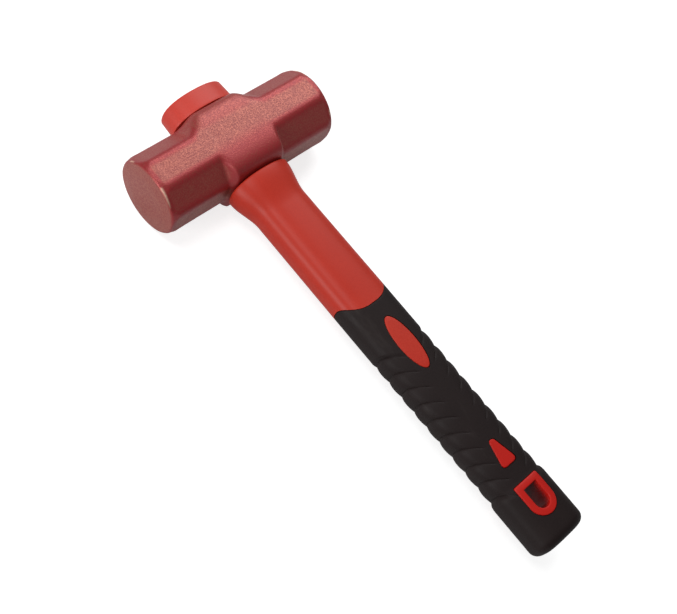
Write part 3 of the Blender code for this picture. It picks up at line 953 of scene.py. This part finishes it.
cap = {
    "edgeRadius": 0.0014,
    "footRadius": 0.0003,  # where it meets the head
    "draft": 0.0005,
    "squareness": 2.3,
    "topInset": 0.0135,  # of the innermost ring of the flat top
}


def capRing(inset, height):
    halfZ = (capHigh.z - capLow.z) / 2
    return ovalRing(capHigh.x - inset, halfZ - inset, cap["squareness"], height, count=ringCount)


def makeCap():
    base, top = capLow.y, capHigh.y
    radius = cap["edgeRadius"]
    rings = [tangRing(gap, jacketHigh.y + gap), tangRing(gap, base)]
    foot = cap["footRadius"]
    for turn in steps(0.0, pi / 2, 3):
        rings.append(capRing(foot * (1 - sin(turn)), base + foot * (1 - cos(turn))))
    for share in steps(0.0, 1.0, 8)[1:]:
        rings.append(capRing(cap["draft"] * share, blend(base + foot, top - radius, share)))
    for turn in steps(0.0, pi / 2, 7)[1:]:
        inset = cap["draft"] + radius * (1 - cos(turn))
        rings.append(capRing(inset, top - radius * (1 - sin(turn))))
    for share in (0.2, 0.5, 0.8):
        rings.append(capRing(blend(cap["draft"] + radius, cap["topInset"], share), top))
    return loftPiece("tang_cap", rings)


tangCap = makeCap()
capPlastic = makeRedPlastic("red_cap_plastic", plastic["capShades"])
finishPiece(tangCap, capPlastic, "eye_cap", 40)


# the core and the filler keep their solids and get real finishes
fibreglass = {
    "resin": (0.45, 0.37, 0.20),
    "fibre": (0.78, 0.73, 0.55),
    "stretch": (1.0, 0.02, 1.0),  # fibres run along the handle
    "fibresPerMetre": 2500.0,
    "roughness": (0.55, 0.3),
    "grainHeight": 0.0001,
}
filler = {
    "dark": (0.20, 0.13, 0.06),
    "pale": (0.46, 0.36, 0.20),
    "grainSize": 0.0012,
    "blotchSize": 0.006,
    "roughness": (0.2, 0.4),
    "grainHeight": 0.0001,
}


def makeFibreglass():
    material, tree, shader = newMaterial("pultruded_fibreglass", Coat_Weight=0.3)
    place = tree.nodes.new("ShaderNodeTexCoord").outputs["Object"]
    lengthen = tree.nodes.new("ShaderNodeMapping")
    lengthen.inputs["Scale"].default_value = fibreglass["stretch"]
    tree.links.new(place, lengthen.inputs["Vector"])
    fibres = tree.nodes.new("ShaderNodeTexNoise")
    fibres.inputs["Scale"].default_value = fibreglass["fibresPerMetre"]
    fibres.inputs["Detail"].default_value = 4.0
    tree.links.new(lengthen.outputs["Vector"], fibres.inputs["Vector"])
    field = fibres.outputs["Fac"]
    colour = mixColours(tree, field, fibreglass["resin"], fibreglass["fibre"])
    tree.links.new(colour, shader.inputs["Base Color"])
    linkRange(tree, field, fibreglass["roughness"], shader.inputs["Roughness"])
    addBump(tree, shader, field, fibreglass["grainHeight"], 0.5)
    return material


def makeFiller():
    material, tree, shader = newMaterial("cured_epoxy", Coat_Weight=0.5)
    cloud = placeGroup(
        tree, speckle, Size=filler["grainSize"], Blotch_Size=filler["blotchSize"]
    )
    colour = mixColours(tree, cloud.outputs["Mask"], filler["dark"], filler["pale"])
    tree.links.new(colour, shader.inputs["Base Color"])
    linkRange(tree, cloud.outputs["Mask"], filler["roughness"], shader.inputs["Roughness"])
    addBump(tree, shader, cloud.outputs["Grain"], filler["grainHeight"], 0.5)
    return material


for node, material in (("fibreglass_core", makeFibreglass()), ("eye_epoxy", makeFiller())):
    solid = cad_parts[node]
    solid.data.materials.clear()
    solid.data.materials.append(material)
print("gave the core and the filler their finishes")


studio = {
    "floorHalf": 12.0,
    "floorColour": (0.48, 0.48, 0.48),
    "aim": Vector((0.0, -0.12, 0.02)),  # what the lights point at
    "lights": [
        # name, direction, distance, size, watts
        ("key_softbox", (0.60, 0.58, 0.70), 1.4, 1.0, 10.0),
        ("overhead_softbox", (-0.30, 0.30, 0.92), 1.5, 0.5, 6.0),
        ("side_fill", (-0.95, 0.15, 0.30), 1.6, 0.8, 12.5),
    ],
    "world": 0.20,  # light from all round
    "worldGlow": 0.62,  # added where the camera sees past the floor
    "floorGlow": 0.78,  # seen by the camera, so that the floor reads pale without lighting from below
    "floorSheen": 0.22,  # seen in reflections
}


def makeFloor():
    half = studio["floorHalf"]
    mesh = bpy.data.meshes.new("floor")
    work = bmesh.new()
    bmesh.ops.create_grid(work, x_segments=8, y_segments=8, size=half)
    work.to_mesh(mesh)
    work.free()
    floor = bpy.data.objects.new("floor", mesh)
    bpy.context.scene.collection.objects.link(floor)
    material, tree, shader = newMaterial("pale_floor", Roughness=0.9, Specular_IOR_Level=0.0)
    shader.inputs["Base Color"].default_value = (*studio["floorColour"], 1.0)
    shader.inputs["Emission Color"].default_value = (1.0, 1.0, 1.0, 1.0)
    ray = tree.nodes.new("ShaderNodeLightPath").outputs
    seen = mathNode(tree, "MULTIPLY", ray["Is Camera Ray"], studio["floorGlow"])
    glow = mathNode(tree, "MULTIPLY_ADD", ray["Is Glossy Ray"], studio["floorSheen"], seen)
    tree.links.new(glow, shader.inputs["Emission Strength"])
    mesh.materials.append(material)


def makeLights():
    for name, direction, distance, size, watts in studio["lights"]:
        data = bpy.data.lights.new(name, "AREA")
        data.shape = "DISK"
        data.size = size
        data.energy = watts
        light = bpy.data.objects.new(name, data)
        bpy.context.scene.collection.objects.link(light)
        towards = Vector(direction).normalized()
        light.location = studio["aim"] + towards * distance
        light.rotation_euler = (-towards).to_track_quat("-Z", "Y").to_euler()
    world = bpy.data.worlds.new("studio_world")
    bpy.context.scene.world = world
    world.use_nodes = True
    tree = world.node_tree
    backdrop = tree.nodes["Background"]
    backdrop.inputs["Color"].default_value = (1.0, 1.0, 1.0, 1.0)
    seen = tree.nodes.new("ShaderNodeLightPath").outputs["Is Camera Ray"]
    strength = mathNode(tree, "MULTIPLY_ADD", seen, studio["worldGlow"], studio["world"])
    tree.links.new(strength, backdrop.inputs["Strength"])


cameraSpot = {
    "place": Vector((-0.2960, -0.2003, 0.5512)),
    "target": Vector((-0.0121, -0.1103, 0.0218)),
    "rollDegrees": 34.42,
    "lens": 58.88,  # millimetres, as is the sensor
    "sensor": 36.0,
    "nearest": 0.01,  # the camera sees nothing closer
}


def makeCamera():
    data = bpy.data.cameras.new("camera")
    data.lens = cameraSpot["lens"]
    data.sensor_width = cameraSpot["sensor"]
    data.clip_start = cameraSpot["nearest"]
    camera = bpy.data.objects.new("camera", data)
    bpy.context.scene.collection.objects.link(camera)
    camera.location = cameraSpot["place"]
    level = (cameraSpot["target"] - cameraSpot["place"]).to_track_quat("-Z", "Y")
    roll = Quaternion((0.0, 0.0, 1.0), radians(cameraSpot["rollDegrees"]))
    camera.rotation_euler = (level @ roll).to_euler()
    bpy.context.scene.camera = camera


makeFloor()
makeLights()
makeCamera()
bpy.context.scene.view_settings.view_transform = "Standard"
print("set the floor, the lights and the camera")
